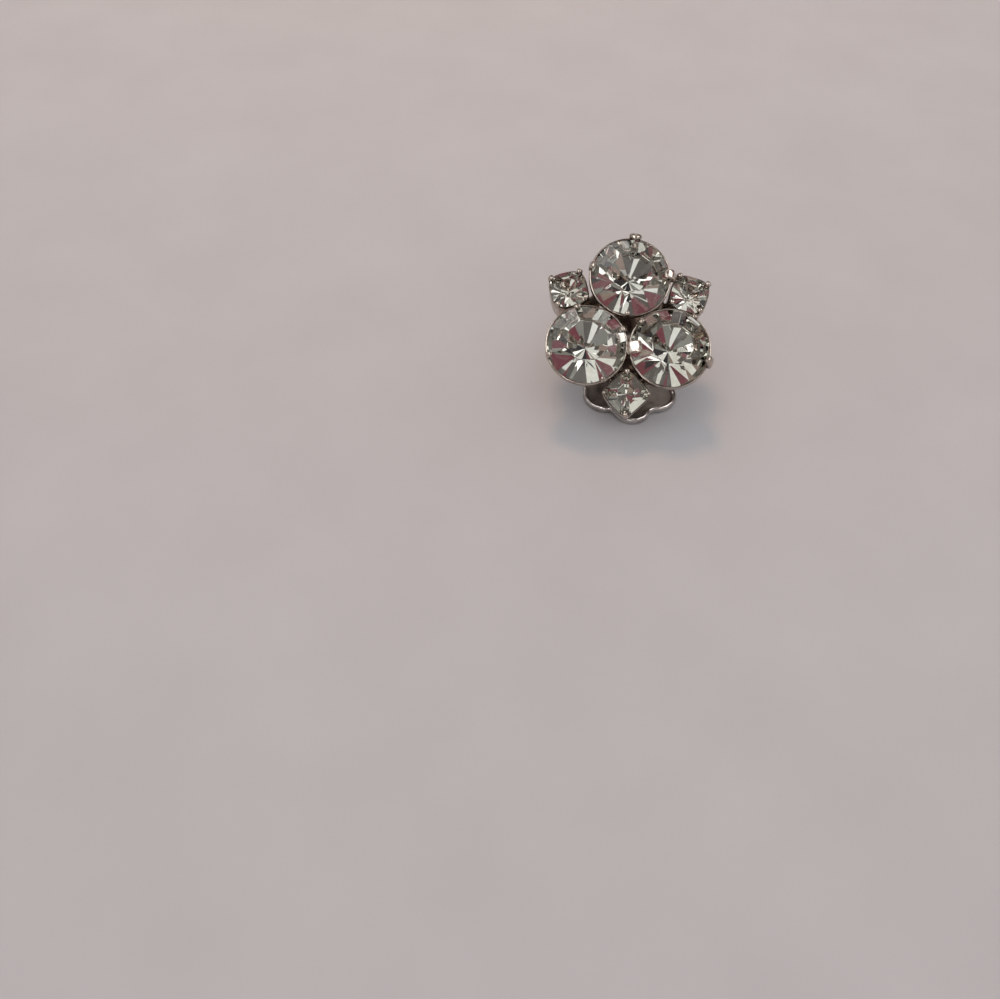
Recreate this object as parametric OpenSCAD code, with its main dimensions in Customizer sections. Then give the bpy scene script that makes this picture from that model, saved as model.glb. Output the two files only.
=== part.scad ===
// Rhinestone clip-on earring: three round stones and three small square ones in prong cups,
// soldered into a flower on a ring, with a sprung clip whose scalloped paddle lies flat.
// X runs across the flower, Y from the paddle's tip to its hinge, Z up from the table.

/* [Round stones] */
// Diameter of each of the three round stones
big_d = 10.8; // [9:0.1:13]
// Width of a round stone's table across its flats
big_table_w = 5.6; // [4:0.1:7]
// Height of a round stone's crown above its girdle
big_crown_h = 2.2; // [1.4:0.1:3]
// Depth of a round stone below its girdle
big_pavilion_h = 3.9; // [3:0.1:5]

/* [Small stones] */
// Width of each small stone across its flats
small_w = 4.7; // [4:0.1:5.4]
// Width of a small stone across its rounded corners
small_corner_d = 6.2; // [5.8:0.1:6.6]
// Width of a small stone's table across its flats
small_table_w = 2.4; // [1.8:0.1:3]
// Height of a small stone's crown above its girdle
small_crown_h = 1.1; // [0.8:0.05:1.4]
// Depth of a small stone below its girdle
small_pavilion_h = 2.1; // [1.6:0.1:2.4]
// How far the small girdles lie below the round ones
small_drop = 0.8; // [0:0.1:1.4]

/* [Cups] */
// Wall of every cup
cup_wall = 0.24; // [0.2:0.02:0.4]
// Straight collar of a round cup below the girdle
collar_h = 0.6; // [0.4:0.1:1.2]
// Diameter of the flat floor under a round cup
cup_floor_d = 4.6; // [3.6:0.1:6]
// Height of a round cup's rim above the girdle
big_rim_h = 0.25; // [0.1:0.05:0.4]
// Width of the ledge that carries a small stone
ledge_w = 0.22; // [0.12:0.02:0.3]
// Gap between neighbouring round cups
cup_gap = 0.08; // [0.04:0.02:0.4]
// Gap between a small cup and the round cups beside it
small_cup_gap = 0.25; // [0.1:0.05:0.6]
// Turn of the flower on its clip
flower_turn = -2.6; // [-8:0.2:8]

/* [Prongs] */
// Width of a round cup's prong
big_prong_w = 1.5; // [1:0.1:2]
// How far a round cup's prong reaches over the crown
big_prong_reach = 1.15; // [0.7:0.05:1.6]
// Thickness of a round cup's prong
big_prong_t = 0.42; // [0.3:0.02:0.6]
// Width of a small cup's prong
small_prong_w = 1; // [0.7:0.05:1.3]
// How far a small cup's prong reaches over the crown
small_prong_reach = 0.7; // [0.4:0.05:0.9]
// Thickness of a small cup's prong
small_prong_t = 0.34; // [0.24:0.02:0.5]
// How far a prong stands out from its cup's wall
prong_proud = 0.2; // [0.06:0.02:0.26]

/* [Backing] */
// Mean diameter of the ring that joins the cups
ring_d = 12.6; // [11:0.1:14]
// Width of the ring and of its three spokes
ring_w = 1.9; // [1.4:0.1:2.6]
// Thickness of the ring
ring_t = 0.8; // [0.6:0.05:1.2]
// Length of the clip's plate along the flower
plate_len = 14.4; // [13.6:0.1:16]
// Width of the clip's plate
plate_w = 6.5; // [6.5:0.1:9]
// Thickness of the clip's plate and its two arms
plate_t = 0.7; // [0.5:0.05:0.9]

/* [Hinge] */
// Height of the hinge pin's axis behind the clip's plate
arm_h = 8.2; // [7:0.1:9.5]
// Place of the hinge above the flower's middle
hinge_up = 3.8; // [2.6:0.1:4.6]
// Width of an arm where it leaves the plate
arm_root_w = 4.4; // [3.2:0.1:6]
// Width of an arm's rounded end
arm_end_w = 2.5; // [2.2:0.1:3]
// Diameter of the hinge pin
pin_d = 1; // [0.8:0.05:1.2]
// Diameter of the pin's riveted heads
pin_head_d = 1.7; // [1.4:0.1:2.2]
// Thickness of the pin's heads
pin_head_t = 0.3; // [0.2:0.05:0.5]
// Height of the pin's axis above the table
pin_z = 1.5; // [1.4:0.05:2]
// Diameter of the paddle's barrel round the pin
barrel_d = 2.3; // [1.9:0.05:2.6]
// Thickness of the leaf spring
spring_t = 0.35; // [0.25:0.05:0.5]
// Width of the leaf spring
spring_w = 3.4; // [2.4:0.1:4]
// Length of the spring's foot on the plate
spring_foot = 4.6; // [3:0.1:6]

/* [Paddle] */
// Length from the hinge pin to the paddle's tip
paddle_len = 18.4; // [17.4:0.1:19.6]
// Greatest width of the paddle
paddle_w = 13.4; // [11:0.1:15]
// Radius of each side lobe
side_lobe_r = 3.2; // [2.6:0.1:3.8]
// Distance from the tip back to the side lobes' middles
side_lobe_back = 5.4; // [4.6:0.1:6.4]
// Radius of the tip lobe
tip_lobe_r = 2.8; // [2.2:0.1:3.2]
// Radius of the dip between two lobes
dip_r = 1.1; // [0.7:0.1:1.8]
// Distance from the tip back to the middle of the pad
pad_back = 7.6; // [6.8:0.1:8.4]
// Height of the paddle's rim above the table
rim_h = 1; // [0.8:0.05:1.4]
// Width of the paddle's rim
rim_w = 0.7; // [0.5:0.05:1]
// Thickness of the paddle's floor
floor_t = 0.5; // [0.35:0.05:0.7]
// Width of the paddle's neck
neck_w = 4.8; // [4:0.1:5.4]
// Length of the neck in front of the pin
neck_len = 5.6; // [4.6:0.1:6.6]
// How far the clip is soldered to the right of the flower's middle
clip_side = 1; // [-1.5:0.1:1.5]
// Gap left between the flower and the rim of the closed paddle
closed_gap = 0.3; // [0.2:0.05:1]

/* [Hidden] */
$fn = 64;

facets = 8;
girdle_h = 0.2;
stone_gap = 0.04;
culet_gap = 0.1;
fit_gap = 0.03;
side_gap = 0.15;
sink = 0.1;
seat_gap = 0.02;

// Each round stone's bearing from the flower's middle, the turn of its facets and its prongs' bearings
round_places = [[90, 7, [82, 164, 0, 264]], [210, -4.5, [22, 103, 197, 293]], [330, 4.5, [-26, 52, 137, 182]]];
// Bearings of the small stones on the left, on the right and at the bottom
small_places = [150, 30, 270];

// Sizes of the cups, from the stones that they hold
big_in_r = big_d / 2 + stone_gap;
big_out_r = big_in_r + cup_wall;
back_z = -(big_pavilion_h + culet_gap + cup_wall);
small_in = small_w / 2 + stone_gap;
small_out = small_in + cup_wall;
small_in_r = small_corner_d / 2 + stone_gap;
small_out_r = small_in_r + cup_wall;
small_depth = -back_z - small_drop;

// Distances of the cups from the flower's middle, from the gaps between them
big_ring_r = (2 * big_out_r + cup_gap) / 2 / cos(30);
small_ring_r = big_ring_r * sin(30)
    + sqrt(pow(big_out_r + small_cup_gap + small_out, 2) - pow(big_ring_r * cos(30), 2));

// Height of the clip's plate and of the pin under the flower
ring_z = back_z + sink - ring_t;
plate_z = ring_z + sink - plate_t;
pin_drop = plate_z - arm_h;

// The flower leans until its lowest back edge clears the paddle's rim by closed_gap
edge_out = -(small_ring_r + small_out_r + prong_proud) - hinge_up;
edge_up = back_z - pin_drop;
edge_z = rim_h + closed_gap - pin_z;
lean = acos(edge_z / norm([edge_out, edge_up])) - atan2(-edge_out, edge_up);
pin_y = hinge_up * cos(lean) - pin_drop * sin(lean);
flower_z = pin_z - hinge_up * sin(lean) - pin_drop * cos(lean);
tip_y = pin_y - paddle_len;

arm_in = neck_w / 2 + side_gap;
arm_out = arm_in + plate_t;

// Moves its children from the flower's own frame, facing up, to where the flower leans
module on_flower() {
    translate([0, 0, flower_z]) rotate([lean, 0, 0]) children();
}

// Moves its children to a bearing round the flower
module at_bearing(bearing, radius, height) {
    rotate([0, 0, bearing + flower_turn]) translate([radius, 0, height])
        rotate([0, 0, -bearing - flower_turn]) children();
}

// All on one side of a sloping plane through a facet's outer edge
module facet_cut(turn, out, height, slope, reach, side) {
    rotate([0, 0, turn]) translate([out, 0, height]) rotate([0, side * slope, 0])
        translate([-reach, -reach, side > 0 ? 0 : -reach]) cube([2 * reach, 2 * reach, reach]);
}

// A faceted stone, cut from its children's outline, with its girdle at Z 0
module cut_stone(flat_r, corner_r, table_r, crown_h, pavilion_h) {
    reach = 2 * (corner_r + crown_h + pavilion_h);
    difference() {
        translate([0, 0, -pavilion_h]) linear_extrude(pavilion_h + crown_h) children();
        for (i = [0 : facets - 1]) {
            turn = i * 360 / facets;
            out = i % 2 == 0 ? flat_r : corner_r;
            facet_cut(turn, out, girdle_h / 2, atan2(crown_h - girdle_h / 2, out - table_r), reach, 1);
            facet_cut(turn, out, -girdle_h / 2, atan2(pavilion_h - girdle_h / 2, out), reach, -1);
        }
    }
}

module small_outline(half, corner_r) {
    intersection() {
        square(2 * half, center = true);
        circle(r = corner_r);
    }
}

// A prong: up the wall, folded in over the crown, with a round tip
module prong(wall_r, face_r, foot_z, seat_z, slope, reach, thick, width) {
    start = wall_r + seat_gap;
    inward = [-cos(slope), sin(slope)];
    outward = [sin(slope), cos(slope)];
    seat = [start, seat_z];
    tip = seat + reach * inward;
    knee = seat + thick * outward;
    intersection() {
        rotate([90, 0, 0]) translate([0, 0, -width / 2]) linear_extrude(width)
            polygon([[start, foot_z], [face_r, foot_z], [face_r, knee.y - thick / 3],
                     knee, tip + 0.8 * thick * outward, tip, seat]);
        translate([0, 0, foot_z - 1]) linear_extrude(seat_z - foot_z + reach + thick + 2) union() {
            translate([tip.x - thick / 4 + width / 2, 0]) circle(d = width);
            translate([tip.x - thick / 4 + width / 2, -width / 2]) square([face_r, width]);
        }
    }
}

// A round cup with its girdle at Z 0
module round_cup(prong_turns) {
    floor_in = back_z + cup_wall;
    crown_slope = atan2(big_crown_h - girdle_h / 2, (big_d - big_table_w) / 2);
    corner_lift = (1 - cos(180 / facets)) * big_d / 2 * tan(crown_slope);
    rotate_extrude() difference() {
        polygon([[0, back_z], [cup_floor_d / 2, back_z], [big_out_r, -collar_h],
                 [big_out_r, big_rim_h], [0, big_rim_h]]);
        polygon([[0, floor_in], [cup_floor_d / 2 - cup_wall, floor_in], [big_in_r, -collar_h + cup_wall],
                 [big_in_r, big_rim_h + 1], [0, big_rim_h + 1]]);
    }
    for (turn = prong_turns) rotate([0, 0, turn])
        prong(big_in_r, big_out_r + prong_proud, cup_wall - collar_h, girdle_h / 2 + corner_lift + stone_gap,
              crown_slope, big_prong_reach, big_prong_t, big_prong_w);
}

// A small square cup with its girdle at Z 0 and a corner on the X axis
module square_cup() {
    crown_slope = atan2(small_crown_h - girdle_h / 2, (small_corner_d - small_table_w) / 2);
    ledge_z = -girdle_h / 2 - ledge_w;
    rotate([0, 0, 45]) difference() {
        translate([0, 0, -small_depth]) linear_extrude(small_depth) small_outline(small_out, small_out_r);
        translate([0, 0, ledge_z]) linear_extrude(small_depth) small_outline(small_in, small_in_r);
        translate([0, 0, cup_wall - small_depth]) linear_extrude(small_depth)
            small_outline(small_in - ledge_w, small_in_r - ledge_w);
    }
    for (i = [0 : 3]) rotate([0, 0, 90 * i])
        prong(small_in_r, small_out_r + prong_proud, cup_wall - small_depth, girdle_h / 2 + 2 * stone_gap,
              crown_slope, small_prong_reach, small_prong_t, small_prong_w);
}

// The ring behind the cups, with a spoke to each small cup
module backing() {
    translate([0, 0, ring_z]) linear_extrude(ring_t) union() {
        difference() {
            circle(d = ring_d + ring_w);
            circle(d = ring_d - ring_w);
        }
        for (bearing = small_places) rotate([0, 0, bearing + flower_turn])
            translate([ring_d / 2, -ring_w / 2]) square([small_ring_r - ring_d / 2, ring_w]);
    }
}

// One arm of the clip, seen from the side: a wide root on the plate and a round end at the pin
module arm_outline() {
    difference() {
        union() {
            circle(d = arm_end_w);
            polygon([[-arm_end_w / 2, 0], [arm_end_w / 2, 0], [arm_root_w / 2, arm_h + sink],
                     [-arm_root_w / 2, arm_h + sink]]);
        }
        circle(d = pin_d + 2 * fit_gap);
    }
}

// The clip's plate, soldered across the ring, and its two arms
module clip_base() {
    plate_out = max(plate_w, 2 * arm_out);
    translate([clip_side, 0, plate_z]) linear_extrude(plate_t)
        translate([-plate_out / 2, -plate_len / 2]) square([plate_out, plate_len]);
    for (side = [-1, 1]) translate([clip_side + side * (arm_in + plate_t / 2), hinge_up, pin_drop])
        rotate([90, 0, 90]) translate([0, 0, -plate_t / 2]) linear_extrude(plate_t) arm_outline();
}

module setting() {
    color("silver") on_flower() union() {
        for (place = round_places) at_bearing(place[0], big_ring_r, 0) round_cup(place[2]);
        for (bearing = small_places) at_bearing(bearing, small_ring_r, -small_drop)
            rotate([0, 0, bearing + flower_turn]) square_cup();
        backing();
        clip_base();
    }
}

module round_stone(place) {
    color("gainsboro") on_flower() at_bearing(place[0], big_ring_r, 0) rotate([0, 0, place[1]])
        cut_stone(big_d / 2, big_d / 2, big_table_w / 2, big_crown_h, big_pavilion_h) circle(d = big_d);
}

module small_stone(bearing) {
    color("gainsboro") on_flower() at_bearing(bearing, small_ring_r, -small_drop)
        rotate([0, 0, bearing + flower_turn + 45])
        cut_stone(small_w / 2, small_corner_d / 2, small_table_w / 2, small_crown_h, small_pavilion_h)
        small_outline(small_w / 2, small_corner_d / 2);
}

// The pin runs across the arms, with a riveted head outside each
module hinge_pin() {
    head_in = arm_out + fit_gap;
    color("silver") translate([clip_side, pin_y, pin_z]) rotate([0, 90, 0]) union() {
        cylinder(h = 2 * head_in + 2 * seat_gap, d = pin_d, center = true);
        for (side = [-1, 1]) translate([0, 0, side * (head_in + pin_head_t / 2)])
            cylinder(h = pin_head_t, d = pin_head_d, center = true);
    }
}

// A bent strip: its foot lies on the plate and its leg presses on the paddle's barrel
module spring_leaf() {
    leg_end = pin_drop + barrel_d / 2 + side_gap;
    foot_z = plate_z - seat_gap;
    color("silver") on_flower() translate([clip_side - spring_w / 2, hinge_up, 0]) union() {
        translate([0, -spring_foot + spring_t / 2, foot_z - spring_t]) cube([spring_w, spring_foot, spring_t]);
        translate([0, -spring_t / 2, leg_end]) cube([spring_w, spring_t, foot_z - leg_end]);
    }
}

// Where two circles meet, on the left of the line from the first to the second
function meeting(a, ra, b, rb) =
    let (d = norm(b - a), along = (d * d + ra * ra - rb * rb) / (2 * d), away = sqrt(ra * ra - along * along),
         u = (b - a) / d)
    a + along * u + away * [-u.y, u.x];

// The paddle's outline from above: pear-shaped, with three lobes in front, drawn smaller by inset
module paddle_outline(inset) {
    lobe = [paddle_w / 2 - side_lobe_r, side_lobe_back];
    tip = [0, tip_lobe_r];
    dip = meeting(lobe, side_lobe_r + dip_r, tip, tip_lobe_r + dip_r);
    neck_y = paddle_len - neck_len;
    difference() {
        union() {
            translate(tip) circle(r = tip_lobe_r - inset);
            translate([0, pad_back]) circle(r = paddle_w / 2 - inset);
            for (side = [0, 1]) mirror([side, 0]) {
                translate(lobe) circle(r = side_lobe_r - inset);
                polygon([tip, dip, lobe, [0, pad_back]]);
                polygon([[0, pad_back], [paddle_w / 2 * cos(35) - inset, pad_back + paddle_w / 2 * sin(35)],
                         [neck_w / 2 - inset, neck_y + 2], [neck_w / 2 - inset, paddle_len], [0, paddle_len]]);
            }
        }
        for (side = [-1, 1]) translate([side * dip.x, dip.y]) circle(r = dip_r + inset);
    }
}

// A dished plate with a raised rim, and a barrel round the pin at the end of its neck
module clip_paddle() {
    color("silver") translate([clip_side, 0, 0]) difference() {
        union() {
            translate([0, tip_y, 0]) difference() {
                linear_extrude(rim_h) paddle_outline(0);
                translate([0, 0, floor_t]) linear_extrude(rim_h) intersection() {
                    paddle_outline(rim_w);
                    translate([-paddle_w, 0]) square([2 * paddle_w, paddle_len - barrel_d]);
                }
            }
            translate([0, pin_y, pin_z]) rotate([0, 90, 0]) cylinder(h = neck_w, d = barrel_d, center = true);
        }
        translate([0, pin_y, pin_z]) rotate([0, 90, 0])
            cylinder(h = 2 * neck_w, d = pin_d + 2 * fit_gap, center = true);
        translate([-neck_w, pin_y, -sink]) cube([2 * neck_w, paddle_len, pin_z - barrel_d / 2 + sink]);
    }
}

setting();
round_stone(round_places[0]);  // stone_top
round_stone(round_places[1]);  // stone_left
round_stone(round_places[2]);  // stone_right
small_stone(small_places[0]);  // small_stone_left
small_stone(small_places[1]);  // small_stone_right
small_stone(small_places[2]);  // small_stone_bottom
hinge_pin();
spring_leaf();
clip_paddle();
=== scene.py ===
import math

import bmesh
import bpy
from mathutils import Matrix, Vector


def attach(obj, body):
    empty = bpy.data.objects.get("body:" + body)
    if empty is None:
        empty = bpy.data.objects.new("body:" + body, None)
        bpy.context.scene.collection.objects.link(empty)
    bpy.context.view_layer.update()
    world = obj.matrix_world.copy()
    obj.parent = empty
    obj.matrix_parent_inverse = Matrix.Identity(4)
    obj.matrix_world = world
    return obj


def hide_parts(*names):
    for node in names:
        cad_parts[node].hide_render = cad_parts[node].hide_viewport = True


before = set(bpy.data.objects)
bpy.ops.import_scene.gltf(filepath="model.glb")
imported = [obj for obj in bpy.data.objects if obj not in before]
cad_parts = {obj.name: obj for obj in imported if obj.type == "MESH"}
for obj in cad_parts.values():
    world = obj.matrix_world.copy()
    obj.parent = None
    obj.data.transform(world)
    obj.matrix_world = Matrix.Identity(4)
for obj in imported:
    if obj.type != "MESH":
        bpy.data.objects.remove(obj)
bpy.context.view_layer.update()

# ---- The view ----
# The earring is seen from in front and above, from about 14 cm away, as it lies on the table.
CAMERA_PLACE = (-0.0177, -0.1037, 0.10494)
CAMERA_TILT = 38.02
CAMERA_LENS = 36
CAMERA_SENSOR = 36
NEAREST_SEEN = 0.002
FURTHEST_SEEN = 10
camera_data = bpy.data.cameras.new("view")
camera_data.sensor_width = CAMERA_SENSOR
camera_data.lens = CAMERA_LENS
camera_data.clip_start = NEAREST_SEEN
camera_data.clip_end = FURTHEST_SEEN
camera = bpy.data.objects.new("view", camera_data)
camera.location = CAMERA_PLACE
camera.rotation_euler = (math.radians(CAMERA_TILT), 0, 0)
bpy.context.scene.collection.objects.link(camera)
bpy.context.scene.camera = camera

# ---- Round stones ----
# Three round rhinestones of pressed and cut glass, with a flat eight-sided table, eight facets
# above the girdle and sixteen below, and silver foil on the back. Each sits loose in its cup.
# Sizes are in millimetres, and the flower has a frame of its own, which leans on the clip.
MM = 0.001
LEAN = 29.7119
FLOWER_HEIGHT = 11.5501
FLOWER_TURN = -2.6
FLOWER = (Matrix.Translation((0, 0, FLOWER_HEIGHT * MM)) @ Matrix.Rotation(math.radians(LEAN), 4, "X")
          @ Matrix.Scale(MM, 4))
FACETS = 8
LOWER_FACETS = 16
STONE_R = 5.4
TABLE_R = 2.7
CROWN_H = 2.2
PAVILION_H = 3.9
GIRDLE_H = 0.2
ROUND_RING_R = 6.6049
OUTLINE_STEPS = 96
# Crown edges are rubbed by EDGE_WEAR where they turn by more degrees than WORN_TURN, between
# facets of more square millimetres than WORN_FACET
EDGE_WEAR = 0.03
WORN_TURN = 12
WORN_FACET = 0.5
# A facet that leans less than this is part of the girdle
GIRDLE_LEAN = 0.1
# A stone's three finishes, in the order in which every stone is given them
CLEAR, FOILED, GROUND = range(3)
# Each round stone's bearing on the flower, and how far it is turned in its cup
ROUND_PLACES = {"top": (90, 7), "left": (210, -4.5), "right": (330, 4.5)}


def turned(bearing, radius, height, turn=0):
    """A place round the flower, in its own frame, with what stands there turned on the spot."""
    angle = math.radians(bearing + FLOWER_TURN)
    place = Matrix.Translation((radius * math.cos(angle), radius * math.sin(angle), height))
    return place @ Matrix.Rotation(math.radians(turn), 4, "Z")


def show(name, mesh_work, finishes, body, stands_for=(), smooth=None):
    """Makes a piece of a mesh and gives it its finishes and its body."""
    mesh = bpy.data.meshes.new(name)
    bmesh.ops.recalc_face_normals(mesh_work, faces=mesh_work.faces)
    mesh_work.to_mesh(mesh)
    mesh_work.free()
    for finish in finishes:
        mesh.materials.append(finish)
    if smooth is not None:
        mesh.shade_smooth()
        mesh.set_sharp_from_angle(angle=math.radians(smooth))
    piece = bpy.data.objects.new(name, mesh)
    bpy.context.scene.collection.objects.link(piece)
    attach(piece, body)
    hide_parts(*stands_for)
    return piece


def halve(work, point, normal):
    """Cuts off what lies beyond a plane and closes the cut with one flat facet."""
    cut = bmesh.ops.bisect_plane(work, geom=work.verts[:] + work.edges[:] + work.faces[:],
                                 plane_co=point, plane_no=normal, clear_outer=True)
    edges = [e for e in cut["geom_cut"] if isinstance(e, bmesh.types.BMEdge)]
    if edges:
        bmesh.ops.contextual_create(work, geom=edges)


def cut_stone(outline, table_r, crown_h, pavilion_h):
    """A faceted stone, cut from a blank of that outline, with its girdle at Z 0."""
    work = bmesh.new()
    low = [work.verts.new((x, y, -pavilion_h)) for x, y in outline]
    high = [work.verts.new((x, y, crown_h)) for x, y in outline]
    work.faces.new(low[::-1])
    work.faces.new(high)
    for i in range(len(outline)):
        j = (i + 1) % len(outline)
        work.faces.new((low[i], low[j], high[j], high[i]))
    for count, side, height, inner in ((FACETS, 1, crown_h, table_r), (LOWER_FACETS, -1, pavilion_h, 0)):
        for i in range(count):
            angle = 2 * math.pi * i / count
            way = Vector((math.cos(angle), math.sin(angle), 0))
            out = max(way.x * x + way.y * y for x, y in outline)
            normal = (way * (height - GIRDLE_H / 2) + Vector((0, 0, side * (out - inner)))).normalized()
            halve(work, way * out + Vector((0, 0, side * GIRDLE_H / 2)), normal)
    bmesh.ops.remove_doubles(work, verts=work.verts, dist=1e-4)
    edges = [e for e in work.edges if len(e.link_faces) == 2 and e.calc_face_angle() > math.radians(WORN_TURN)
             and min(f.calc_area() for f in e.link_faces) > WORN_FACET and min(v.co.z for v in e.verts) > 0]
    bmesh.ops.bevel(work, geom=edges, offset=EDGE_WEAR, segments=1, affect="EDGES", profile=0.5,
                    clamp_overlap=True)
    for face in work.faces:
        face.normal_update()
        upright = abs(face.normal.z) < GIRDLE_LEAN
        face.material_index = GROUND if upright else FOILED if face.normal.z < 0 else CLEAR
    return work


def node(finish, kind, **values):
    """A shader node with its sockets set, or linked where a socket is given."""
    made = finish.node_tree.nodes.new(kind)
    for key, value in values.items():
        if hasattr(made, key) and key not in made.inputs:
            setattr(made, key, value)
            continue
        socket = made.inputs[int(key[1:])] if key[0] == "_" else made.inputs[key.replace("_", " ")]
        if isinstance(value, bpy.types.NodeSocket):
            finish.node_tree.links.new(value, socket)
        else:
            socket.default_value = value
    return made


def blank_finish(name):
    """A new finish with no nodes yet."""
    finish = bpy.data.materials.new(name)
    finish.use_nodes = True
    finish.node_tree.nodes.clear()
    return finish


def ramp(finish, factor, *stops, blend="LINEAR"):
    """A colour ramp over a factor: stops are pairs of a place and a colour."""
    made = node(finish, "ShaderNodeValToRGB", Fac=factor)
    made.color_ramp.interpolation = blend
    elements = made.color_ramp.elements
    while len(elements) < len(stops):
        elements.new(0.5)
    for element, (place, colour) in zip(elements, stops):
        element.position = place
        element.color = (*colour, 1)
    return made.outputs["Color"]


def surface(finish, **values):
    """Ends a finish with its surface shader."""
    shader = node(finish, "ShaderNodeBsdfPrincipled", **values)
    node(finish, "ShaderNodeOutputMaterial", Surface=shader.outputs["BSDF"])
    return finish


# Clear lead glass, with faint haze and rubbed patches on the facets.
GLASS_TINT = (1.0, 0.995, 0.98, 1)
GLASS_HAZE = 0.03
crystal = blank_finish("crystal")
haze = node(crystal, "ShaderNodeTexNoise", Scale=900.0, Detail=4.0,
            Vector=node(crystal, "ShaderNodeTexCoord").outputs["Object"])
surface(crystal, Base_Color=GLASS_TINT, IOR=1.54, Transmission_Weight=1.0,
        Roughness=node(crystal, "ShaderNodeMapRange", Value=haze.outputs["Fac"], From_Min=0.45, From_Max=0.8,
                       To_Min=0.0, To_Max=GLASS_HAZE).outputs["Result"])

# Silvered foil on the back, a little yellowed in patches.
FOIL_BRIGHT = (0.93, 0.935, 0.925)
FOIL_YELLOWED = (0.85, 0.84, 0.79)
foil = blank_finish("foil")
age = node(foil, "ShaderNodeTexNoise", Scale=260.0, Detail=3.0,
           Vector=node(foil, "ShaderNodeTexCoord").outputs["Object"])
surface(foil, Metallic=1.0, Roughness=0.01,
        Base_Color=ramp(foil, age.outputs["Fac"], (0.35, FOIL_BRIGHT), (0.7, FOIL_YELLOWED)))

# The narrow girdle is ground matt before it is silvered.
GIRDLE_DARK = (0.42, 0.39, 0.34)
GIRDLE_PALE = (0.66, 0.64, 0.6)
ground = blank_finish("ground_girdle")
pits = node(ground, "ShaderNodeTexNoise", Scale=5000.0, Detail=3.0,
            Vector=node(ground, "ShaderNodeTexCoord").outputs["Object"])
surface(ground, Metallic=1.0, Roughness=0.5,
        Base_Color=ramp(ground, pits.outputs["Fac"], (0.3, GIRDLE_DARK), (0.7, GIRDLE_PALE)))

circle = [(STONE_R * math.cos(math.radians(360 / OUTLINE_STEPS * i)),
           STONE_R * math.sin(math.radians(360 / OUTLINE_STEPS * i))) for i in range(OUTLINE_STEPS)]
for side, (bearing, turn) in ROUND_PLACES.items():
    stone = cut_stone(circle, TABLE_R, CROWN_H, PAVILION_H)
    stone.transform(FLOWER @ turned(bearing, ROUND_RING_R, 0, turn))
    show("crystal_" + side, stone, (crystal, foil, ground), "flower", ["stone_" + side])

# ---- Small stones ----
# Three cushion-shaped rhinestones, square with rounded corners, of the same foiled glass, set a
# little lower than the round ones.
SMALL_HALF = 2.5
SMALL_TABLE_R = 1.15
SMALL_CROWN_H = 1.1
SMALL_PAVILION_H = 2.1
SMALL_DROP = 0.8
SMALL_RING_R = 9.6707
# Each small stone's bearing, and how far it was soldered leaning outward and sideways
SMALL_PLACES = {"left": (150, 6, 0), "right": (30, 0, 0), "bottom": (270, 8, 6)}
# How square each stone's outline is: 2 is a circle, and a large number a square with sharp corners
SQUARENESS = {"left": 3.0, "right": 3.2, "bottom": 4.4}


def cushion(half, square, steps=OUTLINE_STEPS):
    """The outline of a square with softly rounded corners."""
    points = []
    for i in range(steps):
        angle = 2 * math.pi * i / steps
        r = half / (abs(math.cos(angle)) ** square + abs(math.sin(angle)) ** square) ** (1 / square)
        points.append((r * math.cos(angle), r * math.sin(angle)))
    return points


def small_place(bearing, outward, sideways):
    """Where a small stone and its cup stand on the flower, a corner outward."""
    place = turned(bearing, SMALL_RING_R, -SMALL_DROP, bearing + FLOWER_TURN)
    for axis, angle in (("Y", outward), ("X", sideways), ("Z", 45)):
        place = place @ Matrix.Rotation(math.radians(angle), 4, axis)
    return FLOWER @ place


for side, stands in SMALL_PLACES.items():
    stone = cut_stone(cushion(SMALL_HALF, SQUARENESS[side]), SMALL_TABLE_R, SMALL_CROWN_H,
                      SMALL_PAVILION_H)
    stone.transform(small_place(*stands))
    show("small_crystal_" + side, stone, (crystal, foil, ground), "flower",
         ["small_stone_" + side])

# ---- Round cups and their claws ----
# Each round stone sits in a cup pressed from thin sheet, with a straight collar and a narrow rim.
# Four claws rise up its wall and fold over the stone. Most tips are rounded like beads, and two
# were pressed flat.
CUP_WALL = 0.24
CUP_IN_R = 5.44
CUP_OUT_R = 5.68
COLLAR_H = 0.6
CUP_FLOOR_R = 2.3
CUP_RIM_H = 0.25
CUP_LIP_IN = 0.08
CUP_LIP_DOWN = 0.14
CUP_CORNER_R = 0.16
CUP_BACK = -4.24
CLAW_T = 0.42
CLAW_PROUD = 0.1
CLAW_FOOT = -0.36
CLAW_SEAT = 0.472
CLAW_SLOPE = 38.93
FLATTENED_SLOPE = 18.0
# A claw's stations up the wall: share of the way from its foot to its seat, and of its width, and
# then how far the last one lies below the seat
ON_THE_WALL = ((0, 0.86), (0.4, 0.92))
BELOW_SEAT = 0.12
BELOW_SEAT_WIDTH = 0.97
# The knee, where the claw bends: how far it stands up off the seat as a part of the thickness, then
# in, out and down, and its thickness there
KNEE_UP, KNEE_IN, KNEE_OUT, KNEE_DOWN, KNEE_T = 0.52, 0.02, 0.03, 0.05, 1.02
SEAT_GAP = 0.02
# Its stations over the stone: share of its reach, and its thickness and width as parts of its own
BEADED = ((0.25, 1.14, 1.0), (0.45, 1.26, 0.99), (0.64, 1.3, 0.93), (0.8, 1.2, 0.8), (0.92, 0.95, 0.58),
          (0.98, 0.55, 0.32))
FLATTENED = ((0.2, 1.08, 1.0), (0.5, 1.08, 1.0), (0.8, 1.05, 0.96), (0.94, 0.9, 0.84), (1.0, 0.55, 0.66))
# How round a claw's section is: 1 is an ellipse, and a small number is nearly a box. A beaded claw
# wider than WIDE_CLAW is domed all across.
DOMED_SECTION = 1.0
ROUND_SECTION = 0.72
BOXY_SECTION = 0.45
WIDE_CLAW = 1.5
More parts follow.
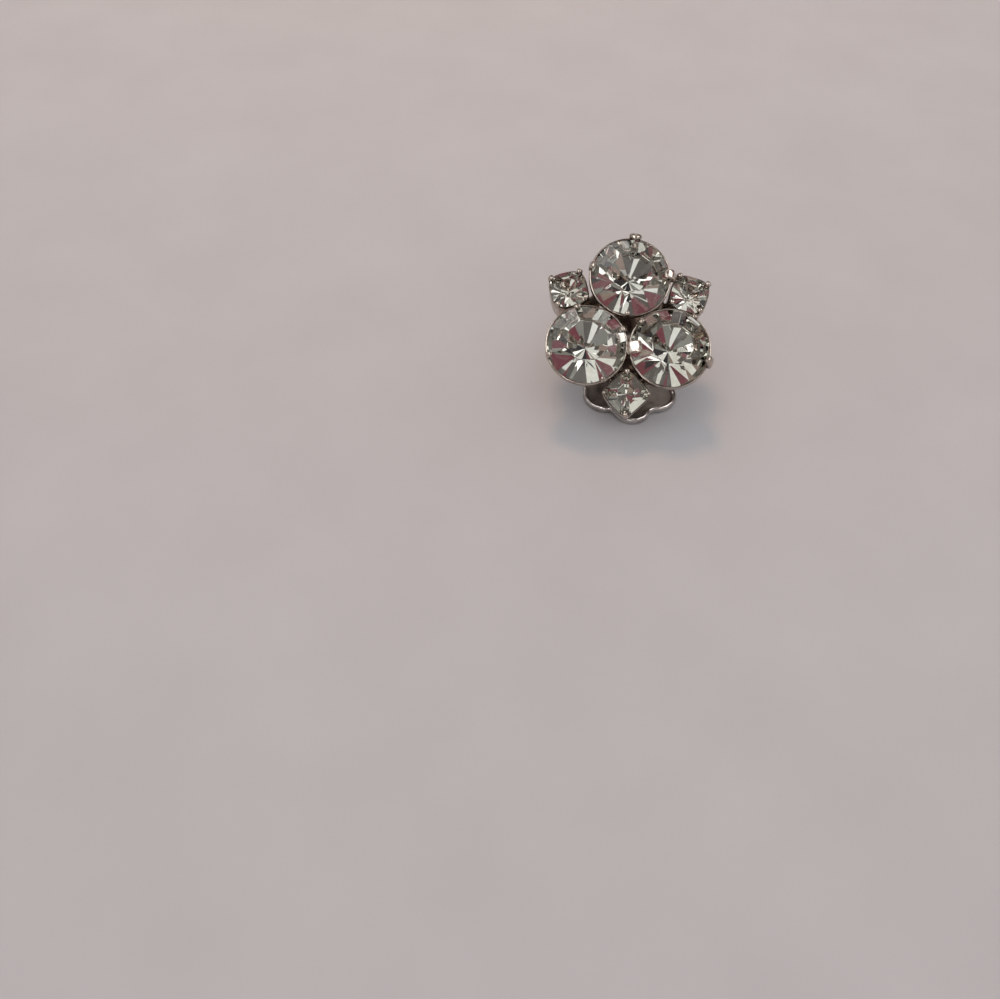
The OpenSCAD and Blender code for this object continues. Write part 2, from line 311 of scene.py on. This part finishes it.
# A claw that stands off its wall starts further out by OFF_START of that, and is thicker by OFF_THICK
# of it
OFF_START = 0.3
OFF_THICK = 0.5
# Each claw's bearing, its width, how far it reaches over the stone, how far it stands off the wall,
# and its tip
CUP_CLAWS = {
    "top": ((82, 1.75, 0.75, 0.52, BEADED), (164, 1.1, 0.7, 0.1, BEADED), (0, 1.3, 0.85, 0.4, FLATTENED),
            (264, 0.8, 0.45, 0.02, BEADED)),
    "left": ((22, 0.95, 0.6, 0.05, BEADED), (103, 1.1, 0.65, 0.05, BEADED), (197, 0.85, 0.6, 0.02, BEADED),
             (293, 0.8, 0.5, 0.02, BEADED)),
    "right": ((-22, 1.4, 0.85, 0.4, BEADED), (52, 0.9, 0.6, 0.15, BEADED), (137, 1.05, 0.65, 0.05, BEADED),
              (182, 1.75, 1.45, 0.15, FLATTENED)),
}
# The order of a cup's finishes
PLAIN, RUBBED_HIGHLIT = range(2)


def lathe(profile, steps=OUTLINE_STEPS):
    """Turns a closed profile of (radius, height) round the Z axis."""
    work = bmesh.new()
    turns = [2 * math.pi * i / steps for i in range(steps)]
    rings = []
    for r, z in profile:
        if r < 1e-6:
            rings.append([work.verts.new((0, 0, z))])
        else:
            rings.append([work.verts.new((r * math.cos(t), r * math.sin(t), z)) for t in turns])
    for a, b in zip(rings, rings[1:] + rings[:1]):
        if len(a) == 1 and len(b) == 1:
            continue
        for i in range(steps):
            j = (i + 1) % steps
            corners = [a[i % len(a)], a[j % len(a)], b[j % len(b)], b[i % len(b)]]
            work.faces.new(list(dict.fromkeys(corners)))
    return work


def join(work, other, place):
    """Adds a second mesh to the first, moved to its place."""
    spare = bpy.data.meshes.new("spare")
    other.transform(place)
    other.to_mesh(spare)
    other.free()
    work.from_mesh(spare)
    bpy.data.meshes.remove(spare)


def round_corners(points, radius, steps=3):
    """A closed outline of (x, y) points with each corner rounded, over less than half of its edges."""
    done = []
    for i, here in enumerate(points):
        before, after = Vector(points[i - 1]), Vector(points[(i + 1) % len(points)])
        here = Vector(here)
        r = min(radius, (before - here).length / 2.2, (after - here).length / 2.2)
        a = here + (before - here).normalized() * r
        b = here + (after - here).normalized() * r
        for k in range(steps + 1):
            t = k / steps
            done.append(tuple(a * (1 - t) ** 2 + here * 2 * t * (1 - t) + b * t ** 2))
    return done


def claw(path, sides=16, section=ROUND_SECTION, finish=PLAIN):
    """A claw swept along (radius, height, width, thickness) stations."""
    work = bmesh.new()
    rings = []
    for i, (r, z, width, thick) in enumerate(path):
        before, after = path[max(i - 1, 0)], path[min(i + 1, len(path) - 1)]
        along = Vector((after[0] - before[0], 0, after[1] - before[1])).normalized()
        out = Vector((along.z, 0, -along.x))
        ring = []
        for k in range(sides):
            angle = 2 * math.pi * k / sides
            c, s = math.cos(angle), math.sin(angle)
            across = math.copysign(abs(c) ** section, c) * width / 2
            up = math.copysign(abs(s) ** section, s) * thick / 2
            ring.append(work.verts.new(Vector((r, 0, z)) + out * up + Vector((0, across, 0))))
        rings.append(ring)
    for a, b in zip(rings, rings[1:]):
        for k in range(sides):
            work.faces.new((a[k], a[(k + 1) % sides], b[(k + 1) % sides], b[k]))
    work.faces.new(rings[0])
    work.faces.new(rings[-1][::-1])
    for face in work.faces:
        face.material_index = finish
    return work


def claw_path(wall, face, foot, seat, slope, reach, thick, width, off=0, tip=BEADED):
    """Stations of a claw: up the wall, round the knee, and in over the stone to its tip."""
    slope = math.radians(slope)
    inward = Vector((-math.cos(slope), math.sin(slope)))
    outward = Vector((math.sin(slope), math.cos(slope)))
    middle = (wall + face) / 2
    wall_t = face - wall
    start = Vector((wall + SEAT_GAP + off * OFF_START, seat))
    path = [(middle, foot + share * (seat - foot), width * wide, wall_t) for share, wide in ON_THE_WALL]
    path.append((middle, seat - BELOW_SEAT, width * BELOW_SEAT_WIDTH, wall_t))
    knee = start + outward * thick * KNEE_UP + inward * KNEE_IN
    path.append((knee.x + KNEE_OUT, knee.y - KNEE_DOWN, width, thick * KNEE_T))
    for share, fat, wide in tip:
        point = start + inward * reach * share + outward * thick * fat / 2
        path.append((point.x, point.y, width * wide, thick * fat))
    return path


# How fine the tarnish and the pits are
BLOTCH_SCALE = 420.0
PIT_SCALE = 3800.0


def plated(name, deepest_shade_and_tarnish, worn, bright, reach=0.0016, rough=0.26, smooth=0.1):
    """Silver-coloured plating, greyed and browned in tarnished blotches and darkened by painted shade near
    other parts, with small pits and rubs.
    """
    finish = blank_finish(name)
    coords = node(finish, "ShaderNodeTexCoord").outputs["Object"]
    blotch = node(finish, "ShaderNodeTexNoise", Vector=coords, Scale=BLOTCH_SCALE, Detail=6.0,
                  Roughness=0.62).outputs["Fac"]
    grain = node(finish, "ShaderNodeTexNoise", Vector=coords, Scale=PIT_SCALE, Detail=3.0)
    # Ambient occlusion darkens the colour where other parts come within reach: painted shade, multiplied with
    # the tarnish blotches
    occlusion_shade = node(finish, "ShaderNodeAmbientOcclusion", Distance=reach, samples=6)
    tarnish_and_shade = node(finish, "ShaderNodeMath", operation="MULTIPLY", _0=occlusion_shade.outputs["AO"],
                _1=node(finish, "ShaderNodeMapRange", Value=blotch, From_Min=0.22,
                        From_Max=0.58).outputs["Result"])
    return surface(finish, Metallic=1.0,
                   Base_Color=ramp(finish, tarnish_and_shade.outputs["Value"], (0.0, deepest_shade_and_tarnish), (0.3, worn), (0.75, bright)),
                   Roughness=node(finish, "ShaderNodeMapRange", Value=blotch, From_Min=0.3, From_Max=0.7,
                                  To_Min=rough, To_Max=smooth).outputs["Result"],
                   Normal=node(finish, "ShaderNodeBump", Height=grain.outputs["Fac"], Strength=0.08,
                               Distance=0.00004).outputs["Normal"])


# Each plating's colour where painted shade and tarnish are deepest, where it is worn, and where it is bright
PLATED = ((0.1, 0.075, 0.06), (0.24, 0.19, 0.16), (0.54, 0.475, 0.425))
# The flattened claws' plating is warmer where it is rubbed to the brass, and brighter as a painted highlight
# for their glints
RUBBED_AND_HIGHLIT = ((0.16, 0.115, 0.085), (0.44, 0.35, 0.28), (0.82, 0.74, 0.67))
plating = plated("plated_metal", *PLATED)
rubbed_highlit_plating = plated("rubbed_highlit_metal", *RUBBED_AND_HIGHLIT)

cup_profile = round_corners([(CUP_FLOOR_R, CUP_BACK), (CUP_OUT_R, -COLLAR_H),
                             (CUP_OUT_R, CUP_RIM_H - CUP_LIP_DOWN),
                             (CUP_OUT_R - CUP_LIP_IN, CUP_RIM_H), (CUP_IN_R, CUP_RIM_H),
                             (CUP_IN_R, -COLLAR_H + CUP_WALL),
                             (CUP_FLOOR_R - CUP_WALL, CUP_BACK + CUP_WALL)], CUP_CORNER_R)
cup_profile = [(0, CUP_BACK)] + cup_profile + [(0, CUP_BACK + CUP_WALL)]
for side, (bearing, _) in ROUND_PLACES.items():
    cup = lathe(cup_profile)
    for turn, width, reach, off, tip in CUP_CLAWS[side]:
        slope = CLAW_SLOPE if tip is BEADED else FLATTENED_SLOPE
        lean = math.radians(slope)
        lift = reach * (math.cos(lean) * math.tan(math.radians(CLAW_SLOPE)) - math.sin(lean))
        path = claw_path(CUP_IN_R, CUP_OUT_R + CLAW_PROUD + off, CLAW_FOOT, CLAW_SEAT + lift, slope,
                         reach + off * OFF_START, CLAW_T + off * OFF_THICK, width, off, tip)
        if tip is FLATTENED:
            shape = claw(path, section=BOXY_SECTION, finish=RUBBED_HIGHLIT)
        else:
            shape = claw(path, section=DOMED_SECTION if width > WIDE_CLAW else ROUND_SECTION)
        join(cup, shape, Matrix.Rotation(math.radians(turn), 4, "Z"))
    cup.transform(FLOWER @ turned(bearing, ROUND_RING_R, 0))
    show("cup_" + side, cup, (plating, rubbed_highlit_plating), "flower", ["setting"], smooth=40)

# ---- Small cups and their claws ----
# Each small stone sits in a square box of sheet metal with a thin rim. A claw runs up each
# rounded corner as a rib and ends in a bead over the stone.
SMALL_CUP_HALF = 2.68
SMALL_CORNER_GAP = 0.03
SMALL_CORNER_T = 0.27
SMALL_DEPTH = 3.44
SMALL_CLAW_W = 0.82
SMALL_CLAW_REACH = 0.48
SMALL_CLAW_T = 0.5
SMALL_CLAW_SEAT = 0.2
SMALL_CLAW_SLOPE = 31.0
# The box's shell, up its outside, over the rim and down its inside: how far in from its face, and
# the height
BOX_SHELL = ((0.12, -SMALL_DEPTH), (0.04, 0.04 - SMALL_DEPTH), (0, 0.12 - SMALL_DEPTH), (0, -0.3),
             (0.03, -0.16), (0.1, -0.08), (0.16, -0.1), (0.18, -0.16), (0.18, -0.34), (0.46, -0.36),
             (0.46, -2.6), (0.7, -3.1), (1.2, -3.2))
# How large each small cup's two sideways claws are, beside its other two
SIDE_CLAWS = {"left": 1, "right": 1, "bottom": 0.55}


def stacked(levels, square):
    """A closed shell through (half width, height) levels of cushion-shaped squares."""
    work = bmesh.new()
    rings = [[work.verts.new((x, y, z)) for x, y in cushion(half, square)] for half, z in levels]
    for a, b in zip(rings, rings[1:]):
        for i in range(len(a)):
            j = (i + 1) % len(a)
            work.faces.new((a[i], a[j], b[j], b[i]))
    work.faces.new(rings[0][::-1])
    work.faces.new(rings[-1])
    return work


box_levels = [(SMALL_CUP_HALF - inset, z) for inset, z in BOX_SHELL]
for side, stands in SMALL_PLACES.items():
    cup = stacked(box_levels, SQUARENESS[side])
    corner = SMALL_HALF * 2 ** (0.5 - 1 / SQUARENESS[side]) + SMALL_CORNER_GAP
    for turn, part in ((45, SIDE_CLAWS[side]), (135, 1), (225, SIDE_CLAWS[side]), (315, 1)):
        path = claw_path(corner, corner + SMALL_CORNER_T, CUP_WALL - SMALL_DEPTH, SMALL_CLAW_SEAT,
                         SMALL_CLAW_SLOPE, SMALL_CLAW_REACH * part, SMALL_CLAW_T * part, SMALL_CLAW_W * part)
        join(cup, claw(path), Matrix.Rotation(math.radians(turn), 4, "Z"))
    cup.transform(small_place(*stands))
    show("small_cup_" + side, cup, (plating,), "flower", ["setting"], smooth=40)

# ---- Backing ring ----
# A flat ring with three spokes, soldered behind the cups; it holds the flower together.
RING_IN = 5.35
RING_OUT = 7.25
RING_LOW = -4.94
RING_HIGH = -4.14
RING_EDGE_R = 0.2
SPOKE_W = 1.9
SPOKE_OVERLAP = 0.9
SPOKE_SUNK = 0.02
SPOKE_EDGE = 0.15


def block(low, high, bevel):
    """A block between two corners with its edges rubbed round."""
    work = bmesh.new()
    bmesh.ops.create_cube(work, size=1)
    size = Vector(high) - Vector(low)
    work.transform(Matrix.Translation((Vector(high) + Vector(low)) / 2) @ Matrix.Diagonal((*size, 1)))
    bmesh.ops.bevel(work, geom=work.edges[:], offset=bevel, segments=3, affect="EDGES", profile=0.5)
    return work


backing = lathe(round_corners([(RING_OUT, RING_LOW), (RING_OUT, RING_HIGH), (RING_IN, RING_HIGH),
                               (RING_IN, RING_LOW)], RING_EDGE_R))
for bearing, _, _ in SMALL_PLACES.values():
    spoke = block((RING_OUT - SPOKE_OVERLAP, -SPOKE_W / 2, RING_LOW + SPOKE_SUNK),
                  (SMALL_RING_R, SPOKE_W / 2, RING_HIGH - SPOKE_SUNK), SPOKE_EDGE)
    join(backing, spoke, Matrix.Rotation(math.radians(bearing + FLOWER_TURN), 4, "Z"))
backing.transform(FLOWER)
show("backing_ring", backing, (plating,), "flower", ["setting"], smooth=40)

# ---- Clip bracket ----
# A strip of sheet soldered across the ring, with an arm folded back on each side for the hinge.
BRACKET_Z = -5.54
BRACKET_T = 0.7
BRACKET_LEN = 14.4
BRACKET_W = 6.5
BRACKET_EDGE = 0.1
FOLD_R = 0.5
FOLD_STEPS = 4
CLIP_SIDE = 1.0
HINGE_UP = 3.8
ARM_H = 8.2
ARM_ROOT_W = 4.4
ARM_END_W = 2.5


def thicken(piece, thick, bevel):
    """Gives a sheet its thickness about its middle and rubs its edges round."""
    solid = piece.modifiers.new("sheet", "SOLIDIFY")
    solid.thickness = thick * MM
    solid.offset = 0
    rub = piece.modifiers.new("rub", "BEVEL")
    rub.width = bevel * MM
    rub.segments = 2
    rub.limit_method = "ANGLE"
    rub.angle_limit = math.radians(50)


bracket = bmesh.new()
mid_z = BRACKET_Z + BRACKET_T / 2
edge_x = BRACKET_W / 2 - BRACKET_T / 2
stations_y = (-BRACKET_LEN / 2, HINGE_UP - ARM_ROOT_W / 2, HINGE_UP + ARM_ROOT_W / 2, BRACKET_LEN / 2)
columns = [bracket.verts.new((s * (edge_x - FOLD_R), y, mid_z)) for y in stations_y for s in (-1, 1)]
for i in range(3):
    bracket.faces.new((columns[2 * i], columns[2 * i + 1], columns[2 * i + 3], columns[2 * i + 2]))
for s in (-1, 1):
    before = [columns[2 + (s > 0)], columns[4 + (s > 0)]]
    for k in range(1, FOLD_STEPS + 1):
        angle = math.radians(90 / FOLD_STEPS * k)
        x = s * (edge_x - FOLD_R + FOLD_R * math.sin(angle))
        z = mid_z - FOLD_R + FOLD_R * math.cos(angle)
        now = [bracket.verts.new((x, y, z)) for y in stations_y[1:3]]
        bracket.faces.new((before[0], before[1], now[1], now[0]))
        before = now
    x, pin_at = s * edge_x, BRACKET_Z - ARM_H
    arc = [bracket.verts.new((x, HINGE_UP + ARM_END_W / 2 * math.cos(math.radians(a)),
                              pin_at + ARM_END_W / 2 * math.sin(math.radians(a))))
           for a in range(0, -181, -15)]
    bracket.faces.new([before[0], before[1]] + arc)
    for rows in ((0, 1), (2, 3)):
        inner = [columns[2 * rows[0] + (s > 0)], columns[2 * rows[1] + (s > 0)]]
        outer = [bracket.verts.new((s * BRACKET_W / 2, stations_y[r], mid_z)) for r in rows]
        bracket.faces.new((inner[0], inner[1], outer[1], outer[0]))
bracket.transform(FLOWER @ Matrix.Translation((CLIP_SIDE, 0, 0)))
bracket = show("clip_bracket", bracket, (plating,), "flower", ["setting"], smooth=40)
thicken(bracket, BRACKET_T, BRACKET_EDGE)

# ---- Hinge pin ----
# A steel pin through both arms and the paddle's barrel, riveted to a low dome outside each arm.
PIN_Y = 10.1105
PIN_Z = 1.5
PIN_R = 0.5
HEAD_R = 0.85
HEAD_IN = 3.28
HEAD_T = 0.3
HEAD_EDGE_T = 0.06
PIN_STEPS = 48
PIN_DULL = (0.3, 0.27, 0.24)
PIN_BRIGHT = (0.62, 0.6, 0.58)
steel = blank_finish("pin_metal")
coords = node(steel, "ShaderNodeTexCoord").outputs["Object"]
rubs = node(steel, "ShaderNodeTexNoise", Vector=coords, Scale=1500.0, Detail=4.0)
surface(steel, Metallic=1.0,
        Base_Color=ramp(steel, rubs.outputs["Fac"], (0.35, PIN_DULL), (0.65, PIN_BRIGHT)),
        Roughness=node(steel, "ShaderNodeMapRange", Value=rubs.outputs["Fac"], To_Min=0.4,
                       To_Max=0.2).outputs["Result"])
dome = [(HEAD_R * math.cos(math.radians(a)),
         HEAD_IN + HEAD_EDGE_T + (HEAD_T - HEAD_EDGE_T) * math.sin(math.radians(a)))
        for a in range(0, 91, 15)]
half_pin = [(PIN_R, HEAD_IN), (HEAD_R, HEAD_IN)] + dome[:-1] + [(0, HEAD_IN + HEAD_T)]
pin = lathe([(0, -HEAD_IN - HEAD_T)] + [(r, -z) for r, z in half_pin[::-1][1:]] + half_pin, PIN_STEPS)
pin.transform(Matrix.Scale(MM, 4) @ Matrix.Translation((CLIP_SIDE, PIN_Y, PIN_Z))
              @ Matrix.Rotation(math.pi / 2, 4, "Y"))
show("rivet_pin", pin, (steel,), "flower", ["hinge_pin"], smooth=40)

# ---- Leaf spring ----
# A bent strip of spring steel: its foot lies on the bracket and its leg presses on the barrel.
SPRING_T = 0.35
SPRING_W = 3.4
SPRING_FOOT = 4.6
SPRING_END = -12.44
SPRING_BEND = 0.8
SPRING_GAP = 0.02
SPRING_EDGE = 0.06
SPRING_DULL = (0.22, 0.2, 0.18)
SPRING_BRIGHT = (0.5, 0.48, 0.45)
DRAWN_LINES = (6.0, 0.4, 0.4)
spring_steel = blank_finish("spring_metal")
coords = node(spring_steel, "ShaderNodeTexCoord").outputs["Object"]
drawn = node(spring_steel, "ShaderNodeTexNoise", Scale=1200.0, Detail=3.0,
             Vector=node(spring_steel, "ShaderNodeVectorMath", operation="MULTIPLY", _0=coords,
                         _1=DRAWN_LINES).outputs["Vector"])
surface(spring_steel, Metallic=1.0,
        Base_Color=ramp(spring_steel, drawn.outputs["Fac"], (0.3, SPRING_DULL), (0.7, SPRING_BRIGHT)),
        Roughness=node(spring_steel, "ShaderNodeMapRange", Value=drawn.outputs["Fac"], To_Min=0.45,
                       To_Max=0.25).outputs["Result"],
        Normal=node(spring_steel, "ShaderNodeBump", Height=drawn.outputs["Fac"], Strength=0.2,
                    Distance=0.00003).outputs["Normal"])
foot_z = BRACKET_Z - SPRING_GAP - SPRING_T / 2
bend = [(HINGE_UP - SPRING_BEND + SPRING_BEND * math.sin(math.radians(a)),
         foot_z - SPRING_BEND + SPRING_BEND * math.cos(math.radians(a))) for a in range(0, 91, 15)]
strip = bmesh.new()
before = None
for y, z in [(HINGE_UP - SPRING_FOOT + SPRING_T / 2, foot_z)] + bend + [(HINGE_UP, SPRING_END)]:
    now = [strip.verts.new((s * SPRING_W / 2, y, z)) for s in (-1, 1)]
    if before:
        strip.faces.new((before[0], before[1], now[1], now[0]))
    before = now
strip.transform(FLOWER @ Matrix.Translation((CLIP_SIDE, 0, 0)))
strip = show("spring_strip", strip, (spring_steel,), "flower", ["spring_leaf"], smooth=50)
thicken(strip, SPRING_T, SPRING_EDGE)

# ---- Paddle ----
# The clip's pad, stamped from sheet: pear-shaped with three lobes in front, a raised round rim,
# a shallow dish, and a neck that ends in a barrel round the pin. It lies flat on the table.
PADDLE_LEN = 18.4
PADDLE_W = 13.4
SIDE_LOBE_R = 3.2
SIDE_LOBE_BACK = 5.4
TIP_LOBE_R = 2.8
DIP_R = 1.1
PAD_BACK = 7.6
RIM_H = 1.0
NECK_W = 4.8
NECK_LEN = 5.6
NECK_BLEND = 2
SHOULDER_AT = 35
TIP_Y = PIN_Y - PADDLE_LEN
BARREL_R = 1.15
BARREL_BORE_R = 0.53
BARREL_EDGE_R = 0.12
BARREL_STEPS = 64
# The pad from its underside, over the rim and down to the dish: how far in from its outline, and
# the height
PAD_RIM = ((0.3, 0.0), (0.12, 0.05), (0.02, 0.18), (0, 0.36), (0.03, 0.52), (0.02, 0.66), (0.04, 0.8),
           (0.12, 0.93), (0.25, RIM_H), (0.38, 0.96), (0.49, 0.86), (0.57, 0.72), (0.68, 0.6), (0.88, 0.55))
# The dish, as shares of the way from the pad's middle to the rim, and the height
PAD_DISH = ((0.8, 0.53), (0.55, 0.48), (0.25, 0.45))
# The last of the rings round the pad that is still bright, and the order of the pad's finishes
LAST_BRIGHT_RING = 10
BRIGHT, DULLED_SHADED = range(2)


def meeting(a, ra, b, rb):
    """Where two circles meet, on the left of the line from the first to the second."""
    gap = b - a
    d = gap.length
    along = (d * d + ra * ra - rb * rb) / (2 * d)
    away = math.sqrt(ra * ra - along * along)
    u = gap / d
    return a + along * u + away * Vector((-u.y, u.x))


side_lobe = Vector((PADDLE_W / 2 - SIDE_LOBE_R, SIDE_LOBE_BACK))
tip_lobe = Vector((0, TIP_LOBE_R))
dip = meeting(side_lobe, SIDE_LOBE_R + DIP_R, tip_lobe, TIP_LOBE_R + DIP_R)
pad_middle = Vector((0, PAD_BACK))


def in_corners(p, corners):
    """Whether a point lies inside a convex polygon."""
    sides = [(Vector(b) - Vector(a)).cross(p - Vector(a)) for a, b in zip(corners, corners[1:] + corners[:1])]
    return all(s >= 0 for s in sides) or all(s <= 0 for s in sides)


def on_paddle(p, inset):
    """Whether a point lies on the paddle, drawn smaller by an inset."""
    p = Vector((abs(p.x), p.y))
    if (p - Vector((abs(dip.x), dip.y))).length < DIP_R + inset:
        return False
    if (p - tip_lobe).length < TIP_LOBE_R - inset or (p - side_lobe).length < SIDE_LOBE_R - inset:
        return True
    if (p - pad_middle).length < PADDLE_W / 2 - inset:
        return True
    shoulder = (PADDLE_W / 2 * math.cos(math.radians(SHOULDER_AT)) - inset,
                PAD_BACK + PADDLE_W / 2 * math.sin(math.radians(SHOULDER_AT)))
    neck = NECK_W / 2 - inset
    neck_start = PADDLE_LEN - NECK_LEN + NECK_BLEND
    if in_corners(p, [(0, PAD_BACK), shoulder, (neck, neck_start), (0, PADDLE_LEN)]):
        return True
    if p.x < neck and neck_start < p.y < PADDLE_LEN - inset:
        return True
    return in_corners(p, [tuple(tip_lobe), (abs(dip.x), dip.y), tuple(side_lobe), tuple(pad_middle)])


def paddle_ring(inset, steps=240):
    """The paddle's outline as points at even turns round its middle."""
    points = []
    for i in range(steps):
        way = Vector((math.cos(2 * math.pi * i / steps), math.sin(2 * math.pi * i / steps)))
        near = 0.0
        while on_paddle(pad_middle + way * (near + 0.1), inset):
            near += 0.1
        far = near + 0.1
        for _ in range(14):
            half = (near + far) / 2
            if on_paddle(pad_middle + way * half, inset):
                near = half
            else:
                far = half
        points.append(pad_middle + way * near)
    return points


pad = bmesh.new()
rings = []
for inset, z in PAD_RIM:
    rings.append([pad.verts.new((p.x, p.y, z)) for p in paddle_ring(inset)])
inner = paddle_ring(PAD_RIM[-1][0])
for share, z in PAD_DISH:
    rings.append([pad.verts.new((*(pad_middle + (p - pad_middle) * share), z)) for p in inner])
for k, (a, b) in enumerate(zip(rings, rings[1:])):
    for i in range(len(a)):
        j = (i + 1) % len(a)
        face = pad.faces.new((a[i], a[j], b[j], b[i]))
        face.material_index = DULLED_SHADED if k > LAST_BRIGHT_RING else BRIGHT
pad.faces.new(rings[0][::-1])
pad.faces.new(rings[-1]).material_index = DULLED_SHADED
barrel = lathe(round_corners([(BARREL_R, -NECK_W / 2), (BARREL_R, NECK_W / 2), (BARREL_BORE_R, NECK_W / 2),
                              (BARREL_BORE_R, -NECK_W / 2)], BARREL_EDGE_R), BARREL_STEPS)
join(pad, barrel, Matrix.Translation((0, PADDLE_LEN, PIN_Z)) @ Matrix.Rotation(math.pi / 2, 4, "Y"))
pad.transform(Matrix.Scale(MM, 4) @ Matrix.Translation((CLIP_SIDE, TIP_Y, 0)))
PADDLE_RIM = ((0.13, 0.11, 0.1), (0.36, 0.33, 0.31), (0.66, 0.63, 0.61))
# The dish is rougher than the rim and has darker colours and a longer occlusion reach: painted shade under
# the overhanging flower
PADDLE_DISH_SHADED = ((0.045, 0.038, 0.034), (0.17, 0.148, 0.136), (0.38, 0.34, 0.315))
rim_plating = plated("paddle_metal", *PADDLE_RIM, rough=0.28, smooth=0.13)
shaded_dish_plating = plated("dulled_shaded_metal", *PADDLE_DISH_SHADED, reach=0.004, rough=0.5, smooth=0.3)
show("paddle_pad", pad, (rim_plating, shaded_dish_plating), "paddle", ["clip_paddle"], smooth=40)

# ---- Table ----
# A plain pale table under the earring, which isn't part of it. The stones' glass doesn't show it,
# so that they fill with what the room has above it.
TABLE_HALF = 1.5
TABLE_BELOW = 0.00002
TABLE_DARK = (0.605, 0.56, 0.55)
TABLE_PALE = (0.635, 0.59, 0.58)
grid = bmesh.new()
bmesh.ops.create_grid(grid, x_segments=2, y_segments=2, size=TABLE_HALF)
table_mesh = bpy.data.meshes.new("table_top")
grid.to_mesh(table_mesh)
grid.free()
table_top = bpy.data.objects.new("table_top", table_mesh)
table_top.location.z = -TABLE_BELOW
bpy.context.scene.collection.objects.link(table_top)
table_finish = blank_finish("pale_table")
mottle = node(table_finish, "ShaderNodeTexNoise", Scale=60.0, Detail=5.0,
              Vector=node(table_finish, "ShaderNodeTexCoord").outputs["Object"])
surface(table_finish, Roughness=0.75, Specular_IOR_Level=0.15,
        Base_Color=ramp(table_finish, mottle.outputs["Fac"], (0.3, TABLE_DARK), (0.7, TABLE_PALE)))
table_mesh.materials.append(table_finish)
table_top.visible_transmission = False

# ---- Light ----
# A soft window lamp behind and above lights the whole, with the pale air of a room. The metal and
# the stones mirror that room instead, made of pale, dark and maroon patches, and three lit panels.
ROOM_SHIFT = (5.64, 20.47, 37.07)
ROOM_DETAIL = 6.0
ROOM_PATCHES = ((0.0, (0.225, 0.223, 0.205)), (0.15, (0.79, 0.787, 0.75)), (0.365, (0.12, 0.11, 0.105)),
                (0.5, (0.175, 0.057, 0.072)), (0.665, (0.035, 0.032, 0.036)), (0.8, (0.28, 0.215, 0.185)),
                (0.945, (1.8, 1.8, 1.75)))
ROOM_AIR = (0.605, 0.635, 0.68, 1)
BACKDROP = (0.47, 0.43, 0.43, 1)
LAMPS_AIM = (0, 0, 0.01)


def lamp(name, place, size, power, colour, mirrored):
    """A soft lamp aimed at the earring: it lights all that is dull, or is only mirrored."""
    data = bpy.data.lights.new(name, "AREA")
    data.shape = "RECTANGLE"
    data.size, data.size_y = size
    data.energy = power
    data.color = colour
    lamp_object = bpy.data.objects.new(name, data)
    lamp_object.location = place
    lamp_object.rotation_euler = (Vector(LAMPS_AIM) - Vector(place)).to_track_quat("-Z", "Y").to_euler()
    lamp_object.visible_camera = False
    lamp_object.visible_diffuse = not mirrored
    lamp_object.visible_glossy = mirrored
    lamp_object.visible_transmission = False
    bpy.context.scene.collection.objects.link(lamp_object)


lamp("window", (-0.054, 0.285, 0.407), (0.1, 0.08), 0.48, (1.0, 0.63, 0.35), False)
lamp("right_panel", (0.33, -0.03, 0.375), (0.25, 0.25), 0.5, (1.0, 0.96, 0.93), True)
lamp("left_panel", (-0.22, -0.07, 0.445), (0.26, 0.26), 0.65, (0.97, 1.0, 0.98), True)
lamp("front_panel", (-0.115, -0.32, 0.365), (0.09, 0.09), 0.2, (1.0, 0.96, 0.94), True)

room = bpy.data.worlds.new("room")
room.use_nodes = True
room.node_tree.nodes.clear()
way = node(room, "ShaderNodeTexCoord").outputs["Generated"]
shifted = node(room, "ShaderNodeVectorMath", operation="ADD", _0=way, _1=ROOM_SHIFT).outputs["Vector"]
things = node(room, "ShaderNodeTexVoronoi", Vector=shifted, Scale=ROOM_DETAIL)
pick = node(room, "ShaderNodeSeparateColor", Color=things.outputs["Color"]).outputs["Red"]
mirrored = ramp(room, pick, *ROOM_PATCHES, blend="CONSTANT")
bpy.context.scene.cycles.max_bounces = 24
bpy.context.scene.cycles.glossy_bounces = 12
bpy.context.scene.cycles.transmission_bounces = 16
rays = node(room, "ShaderNodeLightPath").outputs
spread = node(room, "ShaderNodeMix", data_type="RGBA", _0=rays["Is Diffuse Ray"], _6=mirrored, _7=ROOM_AIR)
backdrop = node(room, "ShaderNodeMix", data_type="RGBA", _0=rays["Is Camera Ray"], _6=spread.outputs[2],
                _7=BACKDROP)
glow = node(room, "ShaderNodeBackground", Color=backdrop.outputs[2], Strength=1.0)
node(room, "ShaderNodeOutputWorld", Surface=glow.outputs["Background"])
bpy.context.scene.world = room
bpy.context.scene.view_settings.view_transform = "Standard"
